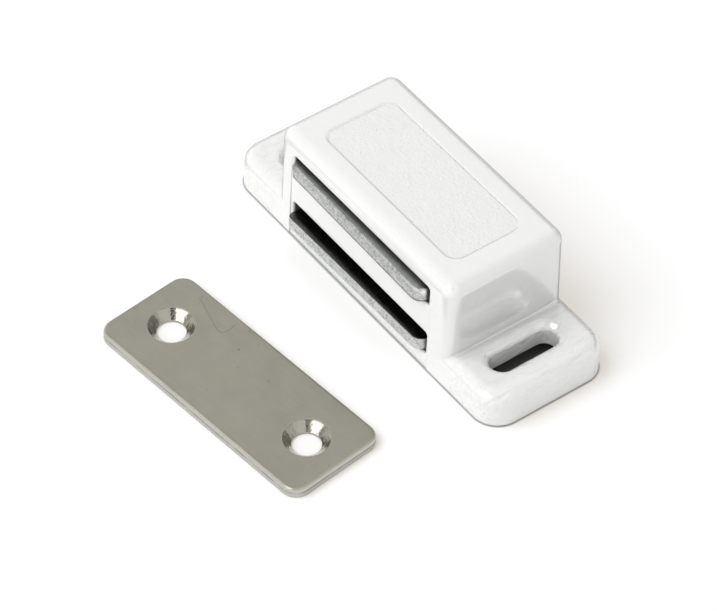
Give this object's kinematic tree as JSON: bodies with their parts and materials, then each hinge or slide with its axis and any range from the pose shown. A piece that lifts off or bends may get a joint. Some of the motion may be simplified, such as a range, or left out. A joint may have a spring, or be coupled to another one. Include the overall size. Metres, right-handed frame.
{
  "type": "magnetic catch",
  "caption": "Moulded cupboard catch with screw ears, a floating magnet between steel pole plates, and a flat countersunk strike plate.",
  "frame": {"origin": "middle of the housing's mounting face", "axes": "+X along the housing from ear to ear, +Z away from the mounting face, -Y out of the front, where the pole plates look out"},
  "size_m": [0.052, 0.0461, 0.0158],
  "materials": {
    "housing": "glossy white moulding, finely textured in the top panel",
    "pole_plate": "zinc-plated steel, sheared front edges",
    "magnet": "dark ground ferrite",
    "strike_plate": "satin nickel plate"
  },
  "bodies": {
    "housing": {"housing": "housing", "strike_plate": "strike_plate"},
    "magnet_pack": {"pole_plate_upper": "pole_plate", "pole_plate_lower": "pole_plate", "magnet": "magnet"}
  },
  "joints": [
    {"name": "pack_float", "type": "slide", "parent": "housing", "child": "magnet_pack", "axis": [0, -1, 0], "range_m": [-0.00045, 0.00045]}
  ]
}
